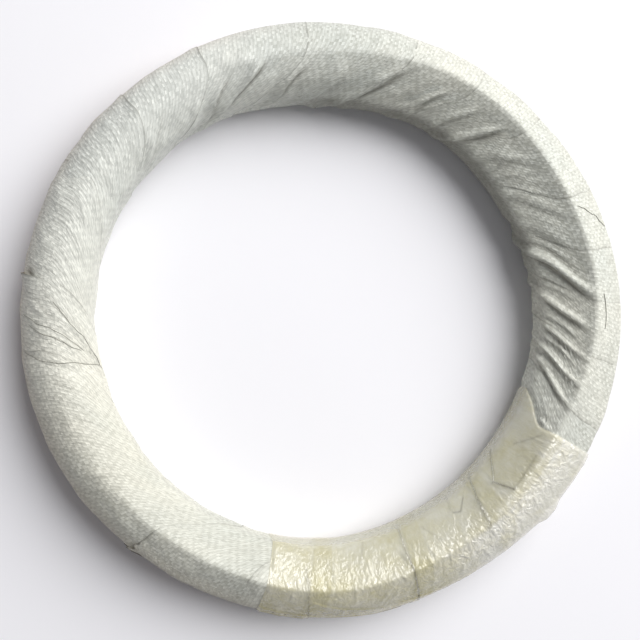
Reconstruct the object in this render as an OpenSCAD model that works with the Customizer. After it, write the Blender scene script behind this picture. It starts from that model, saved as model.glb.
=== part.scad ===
// Wrapped coil of wire: a bundle of round wire turned into a ring, bound all the way
// round with an overlapping strip of woven cloth, with clear tape over part of the ring.
// Millimetres. The coil lies flat on z = 0 and the Z axis runs up through its eye.

/* [Ring] */
// Diameter of the open eye, inside the binding
eye_d = 300; // [240:1:420]
// Width of the bound section, across the ring
section_w = 48; // [42:1:54]
// Height of the bound section, floor to crest
section_h = 48; // [44:1:60]
// Slope of the two upper faces that meet in the crest
roof_slope = 40; // [34:1:42]
// Radius of the crest along the top of the ring
crest_r = 12; // [9:0.5:14]
// Radius of the shoulders between the upper faces and the sides
shoulder_r = 14; // [10:0.5:16]
// Radius of the section where it meets the floor
foot_r = 14; // [10:0.5:15]

/* [Wire] */
// Diameter of the wire
wire_d = 3; // [2:0.1:5]
// Looseness between the bundle of wire and the cloth
bundle_clear = 0.3; // [0.2:0.05:0.6]

/* [Woven strip] */
// Thickness of the wound cloth with its slack
cloth_t = 3.2; // [2:0.1:4]
// Turns of the strip round the whole ring
laps = 20; // [16:1:24]
// Width of the overlap of one turn on the next
lap_w = 18; // [8:1:22]
// Step up of an overlap of the cloth
lap_t = 0.8; // [0.4:0.1:1.2]
// Slant of the strip, from square across the section
lap_slant = 16; // [4:1:24]

/* [Clear tape] */
// Ring angle where the tape begins
tape_start_angle = 256; // [230:1:270]
// Ring angle where the tape ends
tape_end_angle = 334; // [300:1:345]
// Turns of the tape over that stretch
tape_turns = 4; // [2:1:6]
// Thickness of the wound tape
tape_t = 0.6; // [0.4:0.1:1]
// Width of the overlap of one tape turn on the next
tape_lap_w = 8; // [4:1:12]
// Step up of an overlap of the tape
tape_lap_t = 0.3; // [0.2:0.1:0.5]
// Slant of the tape, from square across the section
tape_slant = 5; // [2:1:12]
// Looseness between the tape and the cloth
tape_clear = 0.3; // [0.2:0.05:0.5]

/* [Hidden] */
$fn = 96;
eye_r = eye_d / 2;
mean_r = eye_r + section_w / 2;
half_w = section_w / 2;
half_h = section_h / 2;
lap_pitch_angle = 360 / laps;
slab = 4 * (section_w + section_h);
lap_reach_angle = 12;

// Faces of the section: outer side, outer slope, inner slope, inner side, base and outer side again,
// each by the way it faces and its distance from the middle of the section
roof_reach = (half_h - crest_r) * cos(roof_slope) + crest_r;
face_angle = [0, 90 - roof_slope, 90 + roof_slope, 180, 270, 360];
face_reach = [half_w, roof_reach, roof_reach, half_w, half_h, half_w];
// Depth that each face lies below the rounds it runs between, a hair on the two slopes
face_sink = [0, 0.05, 0.05, 0, 0, 0];
// Radius of the corner after each face
bend_r = [shoulder_r, crest_r, shoulder_r, foot_r, foot_r];
corners = [0 : 4];

// Wires of the outermost layer lie on a path inside the cloth
wire_inset = cloth_t + bundle_clear + wire_d / 2;
core_inset = wire_inset - wire_d / 4;

// Seat of the tape, pressed into the cloth
seat_inset = tape_t + tape_clear;
seat_outset = 2 * lap_t;
tape_pitch_angle = (tape_end_angle - tape_start_angle) / tape_turns;
tape_end_gap_angle = tape_clear / mean_r * 180 / PI;

// Direction of an angle in the section
function way(angle) = [cos(angle), sin(angle)];

// Middle of the round corner after face k, from the middle of the section
function bend_middle(k) =
    let (a = face_angle[k], b = face_angle[k + 1])
    let (p = face_reach[k] - bend_r[k], q = face_reach[k + 1] - bend_r[k])
    [p * sin(b) - q * sin(a), q * cos(a) - p * cos(b)] / sin(b - a);

// Point where the round corner after face k, drawn inset, has turned to an angle
function bend_point(k, inset, angle) = bend_middle(k) + (bend_r[k] - inset) * way(angle);

// Wires that fit side by side along a length
function wires_along(length) = max(1, floor(length / wire_d));

// Wires round the corner after face k
function corner_wires(k) =
    let (from = face_angle[k], sweep = face_angle[k + 1] - face_angle[k])
    let (count = wires_along((bend_r[k] - wire_inset) * sweep * PI / 180))
    [for (i = [0 : count - 1]) bend_point(k, wire_inset, from + sweep * (i + 0.5) / count)];

// Wires along the flat that follows that corner
function flat_wires(k) =
    let (next = (k + 1) % len(bend_r), angle = face_angle[k + 1])
    let (from = bend_point(k, wire_inset, angle), to = bend_point(next, wire_inset, angle))
    let (count = wires_along(norm(to - from)))
    [for (i = [0 : count - 1]) from + (to - from) * (i + 0.5) / count];

// Outline of the bound section, drawn inset from its outer surface
module section(inset) {
    translate([mean_r, half_h]) {
        polygon([
            for (k = corners)
                for (face = [k, k + 1])
                    bend_point(k, inset + face_sink[face], face_angle[face])
        ]);
        for (k = corners)
            translate(bend_middle(k))
                circle(bend_r[k] - inset);
    }
}

// Full ring of that section
module ring(inset) {
    rotate_extrude()
        section(inset);
}

// Stretch of the ring between two ring angles
module stretch(inset, from, to) {
    rotate([0, 0, from])
        rotate_extrude(angle = to - from)
            section(inset);
}

// One overlap: a slanted slice of the section, lifted up and half as far out of the turn below it
module overlap(at, width, step, slant) {
    rotate([0, 0, at])
        intersection() {
            translate([0, 0, step])
                rotate([0, 0, -lap_reach_angle])
                    rotate_extrude(angle = 2 * lap_reach_angle)
                        translate([step / 2, 0])
                            section(0);
            translate([mean_r, 0, half_h])
                rotate([-slant, 0, -slant])
                    cube([slab, width, slab], center = true);
        }
}

// Bundle of wire turned into a ring, its outermost turns standing out of the bundle
module wire_coil() {
    color([0.52, 0.53, 0.55])
        rotate_extrude() {
            section(core_inset);
            for (k = corners)
                for (spot = concat(corner_wires(k), flat_wires(k)))
                    translate([mean_r, half_h] + spot)
                        circle(d = wire_d);
        }
}

// Strip of woven cloth wound round the bundle, each turn lapped over the next
module woven_wrap() {
    color([0.91, 0.91, 0.87])
        difference() {
            union() {
                ring(0);
                for (at = [0 : lap_pitch_angle : 359])
                    if (at < tape_start_angle || at > tape_end_angle)
                        overlap(at, lap_w, lap_t, lap_slant);
            }
            ring(cloth_t);
            difference() {
                stretch(-seat_outset, tape_start_angle, tape_end_angle);
                ring(seat_inset);
            }
        }
}

// Clear tape wound tight round one stretch of the bound ring
module clear_tape() {
    color([0.87, 0.85, 0.73])
        difference() {
            union() {
                stretch(0, tape_start_angle + tape_end_gap_angle, tape_end_angle - tape_end_gap_angle);
                for (k = [1 : tape_turns - 1])
                    overlap(tape_start_angle + k * tape_pitch_angle, tape_lap_w, tape_lap_t, tape_slant);
            }
            ring(tape_t);
        }
}

wire_coil();
woven_wrap();
clear_tape();
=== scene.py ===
import math

import bpy
import numpy as np
from mathutils import Matrix, Vector


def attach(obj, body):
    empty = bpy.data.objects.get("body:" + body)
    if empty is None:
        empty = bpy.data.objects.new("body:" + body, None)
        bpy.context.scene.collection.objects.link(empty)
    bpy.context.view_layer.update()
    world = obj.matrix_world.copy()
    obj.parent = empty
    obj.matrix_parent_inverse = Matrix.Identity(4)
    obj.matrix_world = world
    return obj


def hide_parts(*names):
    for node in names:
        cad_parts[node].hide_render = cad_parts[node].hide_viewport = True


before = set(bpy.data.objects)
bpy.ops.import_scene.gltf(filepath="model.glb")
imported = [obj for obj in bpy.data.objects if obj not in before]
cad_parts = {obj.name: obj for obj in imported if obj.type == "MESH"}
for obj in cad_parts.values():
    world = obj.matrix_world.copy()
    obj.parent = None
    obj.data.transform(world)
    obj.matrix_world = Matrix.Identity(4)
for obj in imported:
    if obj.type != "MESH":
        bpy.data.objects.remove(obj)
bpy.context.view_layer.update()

# Bundle of wire
# Turns of round drawn steel wire, laid into a ring by the winding block. The cloth hides it, so it
# keeps the frame's turned solid and only gets the finish of bare drawn wire.

steel_tone = "#84878A"
steel_dark = "#5E6062"
die_line_mm = 0.4


def linear(colour):
    """An sRGB hex colour as linear RGBA."""
    parts = [int(colour[i:i + 2], 16) / 255 for i in (1, 3, 5)]
    return [c / 12.92 if c <= 0.04045 else ((c + 0.055) / 1.055) ** 2.4 for c in parts] + [1.0]


def add_node(tree, kind, inputs=(), **settings):
    """A new node with its settings, and each input set to a value or linked to a socket."""
    node = tree.nodes.new(kind)
    for name, value in settings.items():
        setattr(node, name, value)
    for name, value in dict(inputs).items():
        if isinstance(value, bpy.types.NodeSocket):
            tree.links.new(value, node.inputs[name])
        else:
            node.inputs[name].default_value = value
    return node


# Drawn steel: the die leaves fine lines along the wire, so the grey is streaked and half bright.
drawn_steel = bpy.data.materials.new("drawn_steel_wire")
drawn_steel.use_nodes = True
tree = drawn_steel.node_tree
steel = tree.nodes["Principled BSDF"]
steel.inputs["Metallic"].default_value = 1.0
place = add_node(tree, "ShaderNodeTexCoord")
die_lines = add_node(
    tree, "ShaderNodeTexNoise",
    {"Vector": place.outputs["Object"], "Scale": 1000 / die_line_mm, "Detail": 2.0})
steel_grey = add_node(
    tree, "ShaderNodeMix",
    {"Factor": die_lines.outputs["Fac"], "A": linear(steel_dark), "B": linear(steel_tone)},
    data_type="RGBA")
tree.links.new(steel_grey.outputs["Result"], steel.inputs["Base Color"])
steel.inputs["Roughness"].default_value = 0.35
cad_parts["wire_coil"].data.materials.clear()
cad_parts["wire_coil"].data.materials.append(drawn_steel)

# Woven strip
# One long strip of woven polypropylene sack cloth, wound round the bundle by hand. Each turn covers the
# edge of the turn before, and the cloth bunches into slanted folds on the inside of the ring.

mm = 0.001
strip_w = 84.0
layer_t = 0.3
weave_mm = 2.6
section_girth = 158.0
mean_r = 174.0
centre_z = 24.0
# Half the section's width, how far its base and its feet lie from its middle, and how sharp its corners are.
half_section = 24.0
base_reach = 23.8
foot_reach = 27.0
corner_sharpness = 26
# Looseness of the cloth over the bundle, and the ring radius and length of the slope that folds run down.
bundle_room = 0.4
fold_r = 160.0
slope_run = 45.0
# The ring as it was wound, every 30 degrees from the right: its outer and inner wall off a true ring, its
# crest off the middle of the section, crest and eaves above that middle, and how round it is, like a tube.
outer_wall = [7, 5, 1, -3, -3, -1, -0.5, 0, -3, -1, -1, 3]
inner_wall = [1, -2.5, -1, -5, 1, 2.5, 2.5, 1, 1, 2, -1, -2]
crest_out = [0.3, 2.5, 3.5, 0, 0, 0, 0, 1, 0.5, 1, -2, -6]
crest_up = [27, 26.5, 26, 25.5, 25, 24.5, 24.5, 24.5, 25, 25, 25.5, 26]
outer_eave = [8, 6, 4, 6, 10, 10, 10, 10, 12, 8, 8, 11]
inner_eave = [8, 7, 6, 4, 8, 10, 10, 10, 9, 8, 7, 6]
rounded = [0, 0, 0.25, 0.7, 0.75, 0.9, 1, 0.8, 0.2, 0.25, 0.15, 0]
# Faces of the bundle inside, each by the way it faces and its distance from the middle of the section.
bundle_faces = [
    (0, 20.5), (50, 17.7), (90, 20.5), (130, 17.7), (180, 20.5), (225, 24.6), (270, 20.5), (315, 24.6)]
# Ring angles where the exposed edge of the strip crosses the top, turn after turn.
lap_angles = [
    -75, -58, -40, -22, -9, 3, 14, 26, 43, 57, 72, 95, 117, 134, 150, 173, 187, 206, 230, 252, 270, 288]
# Turns from the start of the strip where its edge is frayed, where it stands up as a flap, and where a
# painted shadow marks the pocket under that flap.
frayed_turn, flap_turn, pocket_shadow_turn = 17.83, 14.86, 13.88
# Folds: ring angle at the crest and at the foot, depth and width, and the section angles they run between.
folds = [
    (-24, -9, 1.6, 1.9, 85, 200), (-21.5, -7.5, 0.7, 1.2, 88, 190), (-18, -6, 1.8, 2.0, 88, 200),
    (-15, -2.5, 0.8, 1.2, 92, 190), (-12, 0, 1.6, 2.0, 88, 195), (-9, 3, 0.9, 1.3, 90, 195),
    (-6, 7.5, 2.2, 2.6, 92, 205), (-2, 12, 0.8, 1.4, 95, 200), (2, 19, 3.0, 3.4, 82, 215),
    (8, 23, 1.2, 2.2, 95, 205), (20, 36, 0.6, 4.0, 90, 190), (34, 48, 0.6, 4.0, 90, 190),
    (44, 55, 2.0, 3.4, 95, 200), (52, 61, 1.2, 3.0, 95, 200), (60, 69, 1.5, 3.2, 95, 200),
    (69, 87, 2.2, 4.0, 88, 205), (82, 95, 0.7, 3.5, 90, 190), (92, 107, 2.2, 2.4, 90, 200),
    (103, 121, 2.6, 3.0, 85, 200), (111, 124, 1.8, 2.6, 95, 190), (128, 143, 0.6, 3.0, 90, 190),
    (177, 194, 1.1, 2.4, 60, 190), (181, 196, 0.8, 2.0, 45, 175), (184, 197, 0.6, 2.0, 40, 165),
    (188, 194, 0.7, 1.8, 20, 190), (-28, -26, 2.4, 1.6, 95, 140)]
# How white and how cream the cloth is round the ring: it has dulled on the right and yellowed below.
whiteness = [0.3, 0.2, 0.3, 0.25, 1.2, 0.95, 1.2, 0.5, 0.2, 0.1, 0.1, 0.3]
creaminess = [0.7, 0.7, 0.7, 0.5, 0, 0.1, 0.4, 0.9, 0.8, 0.8, 0.6, 0.6]
# Ring angles that the clear tape covers, where the cloth under it is pressed flat.
tape_from, tape_to = 256.2, 332.5
steps_round = 96
# Sizes of the weave's worn patches, its paler and duller lengths, and its fine wrinkles along and across.
worn_patch_mm = 25 / 3
batch_mm = 45.45
wrinkle_long_mm, wrinkle_wide_mm = 16.0, 6.0
cloth_white = "#EFEDE2"
cloth_dull = "#D6D9D3"
grey_white = "#D5D4CA"
grey_dull = "#B6B8B0"
cloth_gap = "#9F9E92"
tint_cool = "#F7FBFF"
tint_cream = "#FFFCF5"
dust_and_shade_brown = "#B49A78"
shade_and_grime_grey = "#5E5A50"


def smooth(x):
    """A soft step from 0 at x = 0 to 1 at x = 1."""
    x = np.clip(x, 0.0, 1.0)
    return x * x * x * (10 - 15 * x + 6 * x * x)


def ring_stretch(phi, start, end, soft):
    """1 on the stretch of the ring between two ring angles, with ends that fade over soft degrees."""
    middle, half = (start + end) / 2, (end - start) / 2
    away = np.abs((phi - middle + 180) % 360 - 180)
    return smooth((half - away) / soft + 0.5)


def ring_value(phi, values):
    """A value that runs smoothly round the ring through values spaced evenly from the right."""
    values = np.asarray(values, dtype=float)
    step = (phi % 360) / 360 * len(values)
    first = np.floor(step).astype(int)
    part = step - first
    before, here, after, later = (values[(first + k) % len(values)] for k in (-1, 0, 1, 2))
    bend = 2 * before - 5 * here + 4 * after - later + part * (3 * (here - after) + later - before)
    return here + 0.5 * part * (after - before + part * bend)


def section_reach(phi, theta, lift):
    """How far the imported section's middle stands off a true ring, and its reach from that middle: walls, a
    base with rounded feet, and two slopes up to the crest. It never cuts into the bundle inside."""
    across, up = np.cos(np.radians(theta)), np.sin(np.radians(theta))
    outer, inner = ring_value(phi, outer_wall), ring_value(phi, inner_wall)
    half_w, shift = half_section + (outer - inner) / 2, (outer + inner) / 2
    crest_x, crest_z = ring_value(phi, crest_out), ring_value(phi, crest_up)
    faces = [
        (across, half_w), (-across, half_w), (-up, base_reach),
        ((across - up) * 0.707, foot_reach), ((-across - up) * 0.707, foot_reach)]
    for side, eaves in ((1, outer_eave), (-1, inner_eave)):
        run, drop = half_w - side * crest_x, crest_z - ring_value(phi, eaves)
        slope = np.hypot(run, drop)
        faces.append(
            ((side * drop * across + run * up) / slope, (side * drop * crest_x + run * crest_z) / slope))
    reach = sum((np.maximum(facing, 0) / away) ** corner_sharpness for facing, away in faces)
    reach = reach ** (-1 / corner_sharpness)
    tube = 1 / np.hypot(across / half_w, up / crest_z)
    reach = reach + (tube - reach) * ring_value(phi, rounded) * smooth(2 * up + 0.3)
    far = 99.0
    bundle = np.full(np.shape(theta), far)
    for angle, away in bundle_faces:
        facing = np.cos(np.radians(theta - angle))
        room = (away + bundle_room - shift * math.cos(math.radians(angle))) / np.maximum(facing, 0.05)
        bundle = np.minimum(bundle, np.where(facing > 0.05, room, far))
    return shift, np.maximum(reach + lift, bundle + 0.3 * np.minimum(lift, 2) + 0.3)


def on_ring(phi, theta, lift):
    """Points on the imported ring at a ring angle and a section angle, lifted off its surface by some mm."""
    pressed = 1 - 0.8 * smooth((-np.sin(np.radians(theta)) - 0.75) / 0.2)
    shift, reach = section_reach(phi, theta, lift * pressed)
    out = mean_r + shift + reach * np.cos(np.radians(theta))
    up = np.maximum(centre_z + reach * np.sin(np.radians(theta)), 0.0)
    return np.stack([out * np.cos(np.radians(phi)), out * np.sin(np.radians(phi)), up], axis=-1) * mm


def crumple(place, length, seed):
    """Soft random waves about that long, from -1 to 1, over coordinates in mm."""
    rng = np.random.default_rng(seed)
    total = 0.0
    for _ in range(10):
        heading = rng.normal(size=len(place))
        heading = heading / np.linalg.norm(heading) / (length * rng.uniform(0.7, 1.5))
        phase = rng.uniform(0, 2 * math.pi)
        total = total + np.sin(2 * math.pi * sum(h * p for h, p in zip(heading, place)) + phase)
    return total / 4.5


def fold_height(phi, theta, crest, foot, depth, wide, start=88, stop=190):
    """Height of one fold down the inside of the ring, and where its valley lies: a ridge with a sharp lip
    over a narrow valley on one side and a soft hollow on the other."""
    around = theta % 360
    down = np.clip((around - 88) / 105, -0.7, 1.15)
    line = crest + (foot - crest) * down + 0.5 * np.sin(around / 13 + crest)
    lean = math.radians(foot - crest) * fold_r / slope_run
    away = np.radians((phi - line + 180) % 360 - 180) * fold_r / math.hypot(1, lean) / wide
    valley = np.where(away < 0, np.exp(0.9 * np.minimum(away, 0)), np.exp(-3 * np.maximum(away, 0)))
    ridge = np.exp(-((away - 1.0) / 0.8) ** 2) - 0.8 * np.exp(-((away - 3.1) / 1.3) ** 2)
    shown = smooth((around - start) / 32) * (1 - smooth((around - stop + 20) / 40))
    return depth * shown * (0.9 * ridge - valley), shown * np.exp(-(np.abs(away) / 0.4) ** 1.5)


def strip_edge(turn):
    """Ring angle of the strip's exposed edge, counted in turns from where it first crosses the top.
    The strip goes nearly straight round the outside and slants across the inside of the ring."""
    whole = np.floor(turn)
    part = turn - whole
    slant = smooth((part + 0.06) / 0.42) + smooth((part - 0.94) / 0.42)
    return np.interp(whole + 0.2 * part + 0.8 * slant, np.arange(len(lap_angles)), lap_angles)


def strip_reach(theta):
    """Ring angle that the strip's width takes up, less on the outside of the ring than on the inside."""
    return np.degrees(strip_w / (mean_r + 18 * np.cos(np.radians(theta))))


def tape_end(theta):
    """Ring angle where the clear tape ends, further on inside the ring than on top."""
    around = theta % 360
    return tape_to + 8.5 * smooth((around - 120) / 66) * (1 - smooth((around - 230) / 60))


# The strip goes once round the section in each turn, from its exposed edge across to its covered one.
last_turn = len(lap_angles) - 1.0
turns = np.linspace(0, last_turn, int(last_turn * steps_round))
shares = np.concatenate([np.linspace(0, 0.7, 40), np.linspace(0.7, 1, 10)[1:]])
turn, share = np.meshgrid(turns, shares, indexing="ij")
theta = 90 + 360 * turn
along = turn * section_girth
width = share * strip_w
frayed = np.exp(-((turn - frayed_turn) / 0.07) ** 2)
edge = strip_edge(turn) + 0.15 * crumple([along], 21, 4) + 0.6 * frayed * crumple([along], 5, 6)
phi = edge + share * strip_reach(theta)
ring_mm = mean_r + half_section * np.cos(np.radians(theta))
# Older turns underneath lift it.
under = 0.0
for back in (1, 2, 3):
    older = strip_edge(turn - back) + strip_reach(theta)
    under = under + np.where(turn >= back, smooth((older - phi) * np.radians(ring_mm) / 4 + 0.5), 0.0)
away = (phi - tape_from + 90) % 360 - 90
taped = smooth(away / 2 + 1) * smooth((tape_end(theta) - tape_from - away) / 2 + 1)
# Inside the ring the cloth is slack and bunches into the folds listed above, and into many small ones.
inside = smooth((np.sin(np.radians(theta - 92)) + 0.05) / 0.95)
inside = inside * smooth((-np.cos(np.radians(theta)) + 0.1) / 0.9)
loose = 1.2 * inside * (0.3 + 0.7 * ring_stretch(phi, -40, 125, 40))
# crease holds painted shade for the narrow valley of each main fold.
crease = 0.0
for fold in folds:
    height, valley = fold_height(phi, theta, *fold)
    loose = loose + height
    crease = np.maximum(crease, valley * min(0.35 * fold[2], 0.75))
rng = np.random.default_rng(21)
for _ in range(90):
    crest, lean = rng.uniform(-30, 255), rng.uniform(4, 16)
    depth, wide = rng.uniform(0.1, 0.5), rng.uniform(1.5, 3)
    if crest > 95:
        depth = 0.5 * depth
    loose = loose + fold_height(phi, theta, crest, crest + lean, depth, wide)[0]
slack = 1 - 0.6 * ring_stretch(phi, -40, 60, 30)
ring_place = [
    ring_mm * np.cos(np.radians(phi)), ring_mm * np.sin(np.radians(phi)),
    half_section * np.sin(np.radians(theta))]
loose = loose + slack * (0.6 * crumple(ring_place, 30, 11) + 0.3 * crumple(ring_place, 11, 12))
# The exposed edge lies flat, or stands up a little where it is loose.
flap = np.exp(-((turn - flap_turn) / 0.06) ** 2)
standing = np.maximum(np.maximum(flap, frayed), 0.9 * ring_stretch(phi, 86, 142, 10))
tucked = (1 - standing) * (1 - 0.6 * inside)
lip = np.exp(-width / 3) * (0.5 + 0.5 * crumple([along], 30, 9)) * 0.6
loose = loose + lip * (1 - tucked) + np.exp(-width / 7) * (4.0 * flap + 0.8 * frayed)
lift = layer_t * (1 + under) + np.maximum(loose * (1 - taped), -layer_t * (0.4 + under))
lift = lift - 0.85 * layer_t * tucked * np.exp(-width / 4)
# Painted shade darkens the exposed edge, the fold valleys, the low inner wall and the pocket under the flap.
painted_shade = np.exp(-width / 0.8) * np.clip(0.4 + 0.3 * crumple([along], 60, 17), 0, 0.65) * (1 - 0.7 * taped)
around = theta % 360
# Painted shade on the low inner wall of the right part of the ring.
wall = smooth((around - 158) / 22) * (1 - smooth((around - 225) / 20)) * ring_stretch(phi, 8, 95, 30)
painted_shade = np.maximum(np.maximum(painted_shade, 0.58 * wall), crease * (1 - taped))
# A painted shadow in the pocket under the flap's lifted edge.
ahead = strip_edge(turn + 1) - phi
painted_shade = np.maximum(painted_shade, 0.9 * np.exp(-((turn - pocket_shadow_turn) / 0.03) ** 2 - ((ahead - 0.7) / 0.7) ** 2))
lap_tone = np.random.default_rng(8).uniform(-0.15, 0.15, len(lap_angles))
white = ring_value(phi, whiteness) + np.interp(turn, np.arange(len(lap_angles)), lap_tone)
rows, columns = turn.shape
points = on_ring(phi, theta, lift)
# Dust and painted shade: browner low on the outer side, most on the left, away from the lamp.
outer = smooth((np.cos(np.radians(theta)) + 0.1) / 0.9)
low = np.clip((44 - points[..., 2] / mm) / 36, 0, 1)
dust_and_shade = 0.85 * outer * low * (0.15 + 0.85 * ring_stretch(phi, 110, 262, 40))
run = np.linalg.norm(np.diff(points[:, 20], axis=0), axis=-1) / mm
length = np.concatenate([[0.0], np.cumsum(run)])
flat_place = np.stack([np.repeat(length, columns), width.ravel()], axis=-1)
index = np.arange(rows * columns).reshape(rows, columns)
quads = np.stack([index[:-1, :-1], index[1:, :-1], index[1:, 1:], index[:-1, 1:]], axis=-1)
quads = quads.reshape(-1, 4)
strip_mesh = bpy.data.meshes.new("woven_strip")
strip_mesh.from_pydata(points.reshape(-1, 3).tolist(), [], quads.tolist())
strip_mesh.polygons.foreach_set("use_smooth", [True] * len(strip_mesh.polygons))
strip_map = strip_mesh.uv_layers.new(name="strip_mm")
corner = np.empty(len(strip_mesh.loops), dtype=np.int32)
strip_mesh.loops.foreach_get("vertex_index", corner)
strip_map.uv.foreach_set("vector", flat_place[corner].astype(np.float32).ravel())
marks = {
    "painted_shade": painted_shade, "dust_and_shade": dust_and_shade, "white": white, "cream": ring_value(phi, creaminess),
    "wrinkled": ring_stretch(phi, 135, 205, 40)}
for name, values in marks.items():
    mark = strip_mesh.attributes.new(name, "FLOAT", "POINT")
    mark.data.foreach_set("value", values.ravel().astype(np.float32))
woven_strip = bpy.data.objects.new("woven_strip", strip_mesh)
bpy.context.collection.objects.link(woven_strip)

# Woven polypropylene: flat tapes over and under each other, off-white and half shiny. Single tapes are
# paler or greyer, the gaps between them darker, and fine wrinkles follow the strip. Painted shade darkens
# edges, folds and the low inner wall, and dust with painted shade browns the low outer side.
woven_cloth = bpy.data.materials.new("woven_polypropylene")
woven_cloth.use_nodes = True
tree = woven_cloth.node_tree
cloth = tree.nodes["Principled BSDF"]
place = add_node(tree, "ShaderNodeUVMap", uv_map="strip_mm")
tapes = add_node(
    tree, "ShaderNodeVectorMath",
    {0: place.outputs["UV"], 1: (math.pi / weave_mm, math.pi / weave_mm, 0.0)}, operation="MULTIPLY")
split = add_node(tree, "ShaderNodeSeparateXYZ", {"Vector": tapes.outputs["Vector"]})
warp = add_node(tree, "ShaderNodeMath", {0: split.outputs["X"]}, operation="SINE")
weft = add_node(tree, "ShaderNodeMath", {0: split.outputs["Y"]}, operation="SINE")
warp_crown = add_node(tree, "ShaderNodeMath", {0: warp.outputs[0]}, operation="ABSOLUTE")
weft_crown = add_node(tree, "ShaderNodeMath", {0: weft.outputs[0]}, operation="ABSOLUTE")
over_under = add_node(
    tree, "ShaderNodeMath", {0: warp.outputs[0], 1: weft.outputs[0]}, operation="MULTIPLY")
which = add_node(tree, "ShaderNodeMath", {0: over_under.outputs[0], 1: 0.0}, operation="GREATER_THAN")
crown = add_node(
    tree, "ShaderNodeMix",
    {"Factor": which.outputs[0], "A": warp_crown.outputs[0], "B": weft_crown.outputs[0]}, data_type="FLOAT")
crossing = add_node(
    tree, "ShaderNodeVectorMath",
    {0: place.outputs["UV"], 1: (weave_mm, weave_mm / 2, 1.0)}, operation="SNAP")
odd_tape = add_node(
    tree, "ShaderNodeTexWhiteNoise", {"Vector": crossing.outputs["Vector"]}, noise_dimensions="2D")
worn = add_node(
    tree, "ShaderNodeTexNoise",
    {"Vector": place.outputs["UV"], "Scale": 1 / worn_patch_mm, "Detail": 6.0, "Roughness": 0.75})
shown_tape = add_node(
    tree, "ShaderNodeMath",
    {0: which.outputs[0], 1: 0.35, 2: odd_tape.outputs["Value"]}, operation="MULTIPLY_ADD")
fleck = add_node(
    tree, "ShaderNodeMath", {0: shown_tape.outputs[0], 1: worn.outputs["Fac"]}, operation="ADD")
pale = add_node(
    tree, "ShaderNodeMapRange",
    {"Value": fleck.outputs[0], "From Min": 0.6, "From Max": 1.55, "To Min": 0.0, "To Max": 1.0})
white_mark = add_node(tree, "ShaderNodeAttribute", attribute_name="white")
batch = add_node(
    tree, "ShaderNodeTexNoise", {"Vector": place.outputs["UV"], "Scale": 1 / batch_mm, "Detail": 2.0})
batch_tone = add_node(
    tree, "ShaderNodeMath", {0: batch.outputs["Fac"], 1: 0.9, 2: -0.45}, operation="MULTIPLY_ADD")
batch_shown = add_node(
    tree, "ShaderNodeMath",
    {0: batch_tone.outputs[0], 1: white_mark.outputs["Fac"]}, operation="ADD", use_clamp=True)
pale_tone = add_node(
    tree, "ShaderNodeMix",
    {"Factor": batch_shown.outputs[0], "A": linear(cloth_dull), "B": linear(cloth_white)}, data_type="RGBA")
grey_tone = add_node(
    tree, "ShaderNodeMix",
    {"Factor": batch_shown.outputs[0], "A": linear(grey_dull), "B": linear(grey_white)}, data_type="RGBA")
tape_tone = add_node(
    tree, "ShaderNodeMix",
    {"Factor": pale.outputs["Result"], "A": grey_tone.outputs["Result"], "B": pale_tone.outputs["Result"]},
    data_type="RGBA")
cream_mark = add_node(tree, "ShaderNodeAttribute", attribute_name="cream")
tint = add_node(
    tree, "ShaderNodeMix",
    {"Factor": cream_mark.outputs["Fac"], "A": linear(tint_cool), "B": linear(tint_cream)}, data_type="RGBA")
tinted_tone = add_node(
    tree, "ShaderNodeVectorMath",
    {0: tape_tone.outputs["Result"], 1: tint.outputs["Result"]}, operation="MULTIPLY")
gap_depth = add_node(
    tree, "ShaderNodeMapRange",
    {"Value": weft_crown.outputs[0], "From Min": 0.0, "From Max": 0.55, "To Min": 0.6, "To Max": 0.0})
gap_shown = add_node(
    tree, "ShaderNodeMath", {0: gap_depth.outputs["Result"], 1: worn.outputs["Fac"]}, operation="MULTIPLY")
unshaded_cloth = add_node(
    tree, "ShaderNodeMix",
    {"Factor": gap_shown.outputs[0], "A": tinted_tone.outputs["Vector"], "B": linear(cloth_gap)},
    data_type="RGBA")
# Painted shade: darker along the exposed edges, in the fold valleys, on the low inner wall and under the
# flap.
painted_shade_mark = add_node(tree, "ShaderNodeAttribute", attribute_name="painted_shade")
shaded_cloth = add_node(
    tree, "ShaderNodeMix",
    {"Factor": painted_shade_mark.outputs["Fac"], "A": unshaded_cloth.outputs["Result"], "B": linear(shade_and_grime_grey)},
    data_type="RGBA")
# Dust and painted shade, browner low on the outer side.
low_dust_and_shade = add_node(tree, "ShaderNodeAttribute", attribute_name="dust_and_shade")
cloth_colour = add_node(
    tree, "ShaderNodeMix",
    {"Factor": low_dust_and_shade.outputs["Fac"], "A": shaded_cloth.outputs["Result"], "B": linear(dust_and_shade_brown)},
    data_type="RGBA")
pulled = add_node(
    tree, "ShaderNodeVectorMath",
    {0: place.outputs["UV"], 1: (1 / wrinkle_long_mm, 1 / wrinkle_wide_mm, 0.0)}, operation="MULTIPLY")
wrinkle = add_node(
    tree, "ShaderNodeTexNoise",
    {"Vector": pulled.outputs["Vector"], "Scale": 1.0, "Detail": 6.0, "Roughness": 0.62})
wrinkled = add_node(tree, "ShaderNodeAttribute", attribute_name="wrinkled")
wrinkle_depth = add_node(
    tree, "ShaderNodeMath", {0: wrinkled.outputs["Fac"], 1: 0.4, 2: 0.35}, operation="MULTIPLY_ADD")
wrinkle_bump = add_node(
    tree, "ShaderNodeBump",
    {"Strength": wrinkle_depth.outputs[0], "Distance": 2.2 * mm, "Height": wrinkle.outputs["Fac"]})
relief = add_node(
    tree, "ShaderNodeMath",
    {0: odd_tape.outputs["Value"], 1: crown.outputs["Result"]}, operation="MULTIPLY")
weave_bump = add_node(
    tree, "ShaderNodeBump",
    {"Strength": 0.5, "Distance": 0.4 * mm, "Height": relief.outputs[0],
     "Normal": wrinkle_bump.outputs["Normal"]})
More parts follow.
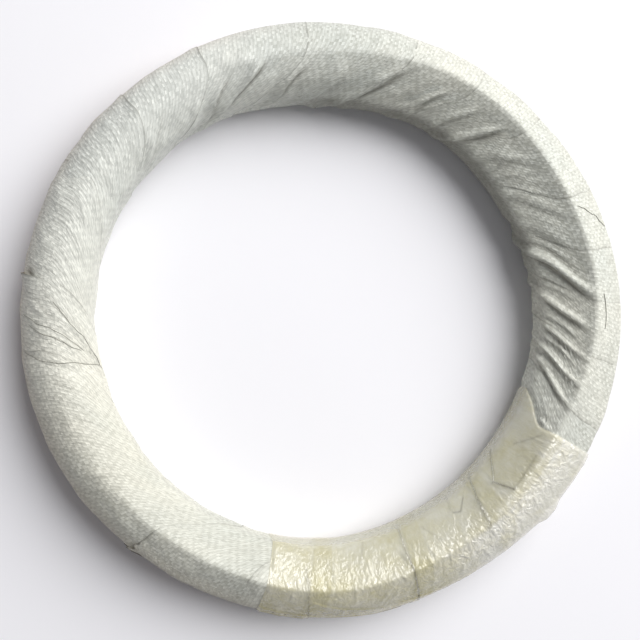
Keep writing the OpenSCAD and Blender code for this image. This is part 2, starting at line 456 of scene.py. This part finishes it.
tree.links.new(cloth_colour.outputs["Result"], cloth.inputs["Base Color"])
tree.links.new(weave_bump.outputs["Normal"], cloth.inputs["Normal"])
cloth.inputs["Roughness"].default_value = 0.5
cloth.inputs["Specular IOR Level"].default_value = 0.35
strip_mesh.materials.append(woven_cloth)
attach(woven_strip, "root")
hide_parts("woven_wrap")

# Loose fibres
# Thin split edges of the strip's own polypropylene tapes. They came loose when the cloth was cut and handled,
# and lie on it, held in the weave at one end. Their dark grey also serves as painted shade for fine creases
# on the left and for the gap under the frayed edge.

# Radius of each fibre, and the ring and section angles that it runs through.
threads = [
    (0.24, [(4.9, 74), (2.4, 70), (-0.4, 68), (-2.9, 71)]),
    (0.24, [(24, 80), (21.5, 50), (20.2, 34), (17.5, 18)]),
    (0.15, [(177, 90), (181.3, 112), (185.5, 137), (189.4, 155), (193, 174)]),
    (0.13, [(186.8, 34), (189.8, 90), (192, 168)]),
    (0.12, [(179.8, 36), (182.6, 88), (187.9, 135)]),
    (0.12, [(181.7, 50), (185, 94), (188, 130)]),
    (0.3, [(227.6, 21), (229.5, 17), (231.5, 18), (233, 14)]),
    (0.2, [(230.5, 16), (233, 12), (235.5, 11)])]
thread_steps, thread_sides = 40, 5
thread_and_shade_grey = "#8A887C"
fibre_spot_mm = 2.5
around_thread = np.arange(thread_sides) * 2 * math.pi / thread_sides
tube_points, tube_quads = [], []
for thread_r, thread in threads:
    stops = np.array(thread, dtype=float)
    part = np.linspace(0, len(stops) - 1, thread_steps)
    at = np.stack([np.interp(part, np.arange(len(stops)), stops[:, k]) for k in (0, 1)], axis=-1)
    at[:, 0] += 0.16 * np.sin(5.1 * part + at[0, 0]) + 0.08 * np.sin(13 * part)
    top = []
    for ring_at, section_at in at:
        near = np.abs((phi - ring_at + 180) % 360 - 180) < 0.7
        near = near & (np.abs((theta - section_at + 180) % 360 - 180) < 4)
        top.append(lift[near].max())
    middle = on_ring(at[:, 0], at[:, 1], np.array(top) + 0.6 * thread_r) / mm
    away = middle - on_ring(at[:, 0], at[:, 1], np.array(top) - 5.0) / mm
    away = away / np.linalg.norm(away, axis=1)[:, None]
    run = np.gradient(middle, axis=0)
    side = np.cross(run, away) / np.linalg.norm(run, axis=1)[:, None]
    first = len(tube_points) * thread_sides
    for k in range(thread_steps):
        radius = thread_r * (0.3 if k in (0, thread_steps - 1) else 1)
        spokes = np.cos(around_thread)[:, None] * away[k] + np.sin(around_thread)[:, None] * side[k]
        tube_points.append(middle[k] + radius * spokes)
    for k in range(thread_steps - 1):
        here = first + thread_sides * k
        there = here + thread_sides
        for j in range(thread_sides):
            after = (j + 1) % thread_sides
            tube_quads.append((here + j, here + after, there + after, there + j))
thread_mesh = bpy.data.meshes.new("loose_threads")
thread_mesh.from_pydata((np.concatenate(tube_points) * mm).tolist(), [], tube_quads)
loose_threads = bpy.data.objects.new("loose_threads", thread_mesh)
bpy.context.collection.objects.link(loose_threads)

# Frayed polypropylene: split tapes, dull and grey with dirt, their dark grey partly painted shade.
frayed_tape = bpy.data.materials.new("frayed_polypropylene")
frayed_tape.use_nodes = True
tree = frayed_tape.node_tree
fibre = tree.nodes["Principled BSDF"]
place = add_node(tree, "ShaderNodeTexCoord")
fibre_spots = add_node(
    tree, "ShaderNodeTexNoise", {"Vector": place.outputs["Object"], "Scale": 1000 / fibre_spot_mm})
fibre_tone = add_node(
    tree, "ShaderNodeMix",
    {"Factor": fibre_spots.outputs["Fac"], "A": linear(shade_and_grime_grey), "B": linear(thread_and_shade_grey)},
    data_type="RGBA")
tree.links.new(fibre_tone.outputs["Result"], fibre.inputs["Base Color"])
fibre.inputs["Roughness"].default_value = 0.6
thread_mesh.materials.append(frayed_tape)
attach(loose_threads, "root")
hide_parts("woven_wrap")

# Clear tape
# Turns of clear, slightly yellow packing tape pulled tight round the cloth. It clings in small sharp
# creases, and each turn covers the edge of the one before.

tape_lift = 1.35
# Length of ring that is taped, and the length of one degree of it.
taped_mm = 237.0
degree_mm = 3.04
# Ring angles on top where a turn of tape begins over the turn before.
tape_edges = (265.3, 288.0, 308.5)
# Lines that stand out on the film, from one ring and section angle to another: turn edges and creases. The
# last number is how dark a line is, below zero for a ridge that is only lit.
tape_lines = [
    ((264.5, 120), (266.3, 20), 0.5), ((289, 180), (288, 120), 0.5), ((288, 120), (288.2, 10), 0.85),
    ((313.1, 185), (309.3, 135), 0.6), ((309.3, 135), (307.5, 92), 0.8), ((307.5, 92), (306.5, 30), 0.3),
    ((321.6, 178), (315.1, 137), 0.5), ((315.1, 137), (316.8, 108), 0.9), ((316.8, 108), (326, 112), 0.25),
    ((304, 178), (302.7, 142), 0.35), ((302.7, 142), (304.3, 137), 0.5), ((304.3, 137), (307, 152), 0.35),
    ((326, 150), (331, 120), 0.35), ((294, 150), (297, 112), 0.25), ((279, 160), (277, 118), 0.25),
    ((267, 66), (279, 34), -0.9), ((257, 36), (265, 30), -0.9), ((257, 27), (265, 20), -0.9),
    ((257, 17), (266, 9), -0.8), ((270, 22), (284, 16), -0.7), ((285, 30), (299, 24), -0.6)]
tape_columns, tape_rows = 340, 240
crease_count = 260
# Glue patches along a metre, and the size of the film's crinkles along the ring and round its section.
glue_patches = 70.0
crinkle_along_mm, crinkle_round_mm = 3.5, 6.0
film_clear = "#F8F5E8"
film_yellow = "#DBD2A0"
tape_line = "#4A4636"


def line_distance(phi, theta, start, end):
    """Distance in mm from a line on the ring's surface, and the side of it that a point lies on."""
    ring_scale = np.radians(mean_r + 20 * math.cos(math.radians((start[1] + end[1]) / 2)))
    section_scale = section_girth / 360
    run_x, run_y = (end[0] - start[0]) * ring_scale, (end[1] - start[1]) * section_scale
    long = math.hypot(run_x, run_y)
    x = (phi - start[0]) * ring_scale
    y = ((theta - start[1] + 180) % 360 - 180) * section_scale
    part = np.clip((x * run_x + y * run_y) / long ** 2, 0, 1)
    return np.hypot(x - part * run_x, y - part * run_y), np.sign(x * run_y - y * run_x)


around = np.linspace(0, 360, tape_rows, endpoint=False)
share, theta = np.meshgrid(np.linspace(0, 1, tape_columns), around, indexing="ij")
phi = tape_from + share * (tape_end(theta) - tape_from)
along = np.radians(phi - tape_from) * mean_r
girth = theta / 360 * section_girth
ends = smooth(along / 2.5) * smooth((1 - share) * taped_mm / 2.5)
# The film is slack along the crest, most in the last turns, and a little on the outer slope.
slack = np.exp(-((theta - 80) / 30) ** 2) + 0.5 * np.exp(-((theta - 25) / 30) ** 2)
slack = slack + 0.7 * smooth((phi - 288) / 16) * np.exp(-((theta - 76) / 34) ** 2)
# It lies close on the cloth, a step higher for each turn, and looks yellower where turns and glue lie double.
# Painted shade makes its first turns yellower and darker, and a painted highlight makes its outer slope
# paler.
lift = tape_lift - 0.55 * (1 - ends) + 0.2 * ends * crumple([along, girth], 40, 31)
# Painted shade: the first turns yellower and darker, most on the outer wall.
outer_wall_shade = np.exp(-(((theta + 180) % 360 - 190) / 40) ** 2)
layers_and_painted_light = (1 - smooth((phi - 280) / 30)) * (0.8 + 1.2 * outer_wall_shade) + 0.5
# Painted highlight: paler on the outer slope of the last turns, where the film glints.
layers_and_painted_light = layers_and_painted_light - 1.5 * smooth((phi - 290) / 20) * smooth((96 - theta) / 10)
for edge_at in tape_edges:
    past = (phi - edge_at - 0.02 * (theta - 90)) * degree_mm
    lift = lift + 0.2 * smooth(past / 1.2 + 0.5)
    layers_and_painted_light = layers_and_painted_light + smooth(past / 1.2 + 0.5) * smooth((14 - past) / 1.2)
patch = smooth((phi - 315) / 1.0) * smooth((327 - phi) / 1.5)
layers_and_painted_light = layers_and_painted_light + patch * np.exp(-((theta - 138) / 34) ** 4)
# Small sharp creases, mostly on the crest.
rng = np.random.default_rng(5)
for _ in range(crease_count):
    middle_a, middle_g = rng.uniform(0, taped_mm), section_girth * rng.triangular(-0.05, 0.22, 0.4)
    heading, long, wide = rng.normal(1.3, 0.5), rng.uniform(4, 15), rng.uniform(1.0, 2.6)
    high = rng.uniform(-0.2, 0.55)
    da = along - middle_a
    dg = (girth - middle_g + section_girth / 2) % section_girth - section_girth / 2
    way = da * math.cos(heading) + dg * math.sin(heading)
    off = -da * math.sin(heading) + dg * math.cos(heading)
    lift = lift + ends * high * np.maximum(1 - np.abs(off) / wide, 0) * np.exp(-(way / long * 2) ** 2)
# Air under the film bulges it in two places, and a flake of it stands off on the outer side.
bulge = np.exp(-((phi - 272) / 5) ** 2 - ((theta - 58) / 22) ** 2)
bulge = bulge + np.exp(-((phi - 281) / 8) ** 2 - (theta / 20) ** 2)
flake = np.exp(-((phi - 319) / 2.5) ** 4 - (((theta + 180) % 360 - 190) / 16) ** 2)
lift = lift + 1.4 * bulge + 3.0 * flake
crease = np.zeros_like(phi)
for start, end, dark in tape_lines:
    away, side = line_distance(phi, theta, start, end)
    crease = np.maximum(crease, dark * np.exp(-(away / 0.8) ** 2))
    lift = lift + 0.7 * abs(dark) * np.where(side > 0, np.exp(-away / 2.0), -0.3 * np.exp(-away / 1.5))
lift = np.maximum(lift, 0.75 + 0.35 * ends)
index = np.arange(tape_columns * tape_rows).reshape(tape_columns, tape_rows)
after = np.roll(index, -1, axis=1)
quads = np.stack([index[:-1], index[1:], after[1:], after[:-1]], axis=-1).reshape(-1, 4)
tape_mesh = bpy.data.meshes.new("clear_tape_turns")
tape_mesh.from_pydata(on_ring(phi, theta, lift).reshape(-1, 3).tolist(), [], quads.tolist())
tape_mesh.polygons.foreach_set("use_smooth", [True] * len(tape_mesh.polygons))
marks = {"crease": crease, "slack": slack, "layers_and_painted_light": layers_and_painted_light, "tape_along": along, "tape_girth": girth}
for name, values in marks.items():
    mark = tape_mesh.attributes.new(name, "FLOAT", "POINT")
    mark.data.foreach_set("value", values.ravel().astype(np.float32))
tape_turns = bpy.data.objects.new("clear_tape_turns", tape_mesh)
bpy.context.collection.objects.link(tape_turns)

# Polypropylene packing tape: clear film on a yellowish glue, glossy and see-through. Where turns overlap it
# is yellower, and where it is slack it crinkles and glints. It is also painted yellower and darker as shade
# on its first turns, and paler as a painted highlight on the outer slope of its last turns.
tape_film = bpy.data.materials.new("packing_tape_film")
tape_film.use_nodes = True
tree = tape_film.node_tree
film = tree.nodes["Principled BSDF"]
place = add_node(tree, "ShaderNodeTexCoord")
glue = add_node(
    tree, "ShaderNodeTexNoise",
    {"Vector": place.outputs["Object"], "Scale": glue_patches, "Detail": 5.0, "Roughness": 0.65})
# Overlapping turns and glue, with painted shade and a painted highlight.
doubled_and_painted_light = add_node(tree, "ShaderNodeAttribute", attribute_name="layers_and_painted_light")
glue_and_painted_light_depth = add_node(
    tree, "ShaderNodeMath",
    {0: doubled_and_painted_light.outputs["Fac"], 1: 0.16, 2: glue.outputs["Fac"]}, operation="MULTIPLY_ADD")
glue_and_painted_light_shown = add_node(
    tree, "ShaderNodeMapRange", {"Value": glue_and_painted_light_depth.outputs[0], "From Min": 0.35, "From Max": 1.0})
film_tone = add_node(
    tree, "ShaderNodeMix",
    {"Factor": glue_and_painted_light_shown.outputs["Result"], "A": linear(film_clear), "B": linear(film_yellow)},
    data_type="RGBA")
marked = add_node(tree, "ShaderNodeAttribute", attribute_name="crease")
film_colour = add_node(
    tree, "ShaderNodeMix",
    {"Factor": marked.outputs["Fac"], "A": film_tone.outputs["Result"], "B": linear(tape_line)},
    data_type="RGBA")
slack_film = add_node(tree, "ShaderNodeAttribute", attribute_name="slack")
milky = add_node(
    tree, "ShaderNodeMath", {0: slack_film.outputs["Fac"], 1: 0.2, 2: 0.5}, operation="MULTIPLY_ADD")
film_cover = add_node(
    tree, "ShaderNodeMath",
    {0: milky.outputs[0], 1: marked.outputs["Fac"]}, operation="MAXIMUM", use_clamp=True)
along_tape = add_node(tree, "ShaderNodeAttribute", attribute_name="tape_along")
round_ring = add_node(tree, "ShaderNodeAttribute", attribute_name="tape_girth")
crinkle_x = add_node(
    tree, "ShaderNodeMath", {0: along_tape.outputs["Fac"], 1: 1 / crinkle_along_mm}, operation="MULTIPLY")
crinkle_y = add_node(
    tree, "ShaderNodeMath", {0: round_ring.outputs["Fac"], 1: 1 / crinkle_round_mm}, operation="MULTIPLY")
crinkle_place = add_node(
    tree, "ShaderNodeCombineXYZ", {"X": crinkle_x.outputs[0], "Y": crinkle_y.outputs[0]})
crinkle = add_node(
    tree, "ShaderNodeTexNoise",
    {"Vector": crinkle_place.outputs["Vector"], "Scale": 1.0, "Detail": 1.5, "Roughness": 0.45,
     "Distortion": 1.0})
crinkle_depth = add_node(
    tree, "ShaderNodeMapRange",
    {"Value": slack_film.outputs["Fac"], "From Min": 0.0, "From Max": 2.0, "To Min": 0.2, "To Max": 1.0})
soft_depth = add_node(
    tree, "ShaderNodeMath", {0: crinkle_depth.outputs["Result"], 1: 0.28}, operation="MULTIPLY")
film_bump = add_node(
    tree, "ShaderNodeBump",
    {"Strength": soft_depth.outputs[0], "Distance": 6.0 * mm, "Height": crinkle.outputs["Fac"]})
glint_bump = add_node(
    tree, "ShaderNodeBump",
    {"Strength": crinkle_depth.outputs["Result"], "Distance": 9.0 * mm, "Height": crinkle.outputs["Fac"]})
tree.links.new(film_colour.outputs["Result"], film.inputs["Base Color"])
tree.links.new(film_cover.outputs[0], film.inputs["Alpha"])
tree.links.new(film_bump.outputs["Normal"], film.inputs["Normal"])
tree.links.new(glint_bump.outputs["Normal"], film.inputs["Coat Normal"])
film.inputs["Roughness"].default_value = 0.2
film.inputs["IOR"].default_value = 1.5
film.inputs["Coat Weight"].default_value = 1.0
film.inputs["Coat Roughness"].default_value = 0.24
film.inputs["Coat IOR"].default_value = 2.0
tape_mesh.materials.append(tape_film)
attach(tape_turns, "root")
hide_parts("clear_tape")

# Floor, light and camera
# A plain pale floor, one large soft lamp up to the right, and an even sky. The camera looks down on the ring
# from a little left of its middle.

floor_half = 3.0
floor_tone = "#F2F1F4"
sky_tone = "#F1F2F8"
floor_mesh = bpy.data.meshes.new("floor")
floor_mesh.from_pydata(
    [(-floor_half, -floor_half, 0), (floor_half, -floor_half, 0), (floor_half, floor_half, 0),
     (-floor_half, floor_half, 0)], [], [(0, 1, 2, 3)])
floor = bpy.data.objects.new("floor", floor_mesh)
bpy.context.collection.objects.link(floor)
pale_floor = bpy.data.materials.new("pale_floor")
pale_floor.use_nodes = True
floor_paint = pale_floor.node_tree.nodes["Principled BSDF"]
floor_paint.inputs["Base Color"].default_value = linear(floor_tone)
floor_paint.inputs["Roughness"].default_value = 0.7
floor_mesh.materials.append(pale_floor)

lamp_data = bpy.data.lights.new("window", "AREA")
lamp_data.shape = "DISK"
lamp_data.size = 4.5
lamp_data.energy = 252.0
lamp = bpy.data.objects.new("window", lamp_data)
bpy.context.collection.objects.link(lamp)
lamp.location = (2.102, 1.893, 2.828)
lamp.rotation_mode = "QUATERNION"
lamp.rotation_quaternion = (-lamp.location).to_track_quat("-Z", "Y")

world = bpy.data.worlds.new("even_sky")
world.use_nodes = True
sky = world.node_tree.nodes["Background"]
sky.inputs["Color"].default_value = linear(sky_tone)
sky.inputs["Strength"].default_value = 0.21
bpy.context.scene.world = world

camera_data = bpy.data.cameras.new("camera")
camera_data.sensor_width = 36.0
camera_data.lens = 49.2
camera_data.shift_x = 0.08
camera_data.clip_start = 0.02
camera = bpy.data.objects.new("camera", camera_data)
bpy.context.collection.objects.link(camera)
camera.location = (-0.105, -0.010, 0.600)
aim = Vector((-0.0377, -0.0025, 0.024)) - camera.location
side = aim.cross(Vector((0, 1, 0))).normalized()
top = side.cross(aim).normalized()
camera.rotation_mode = "QUATERNION"
camera.rotation_quaternion = Matrix((side, top, -aim.normalized())).transposed().to_quaternion()
bpy.context.scene.camera = camera
bpy.context.scene.view_settings.view_transform = "Standard"
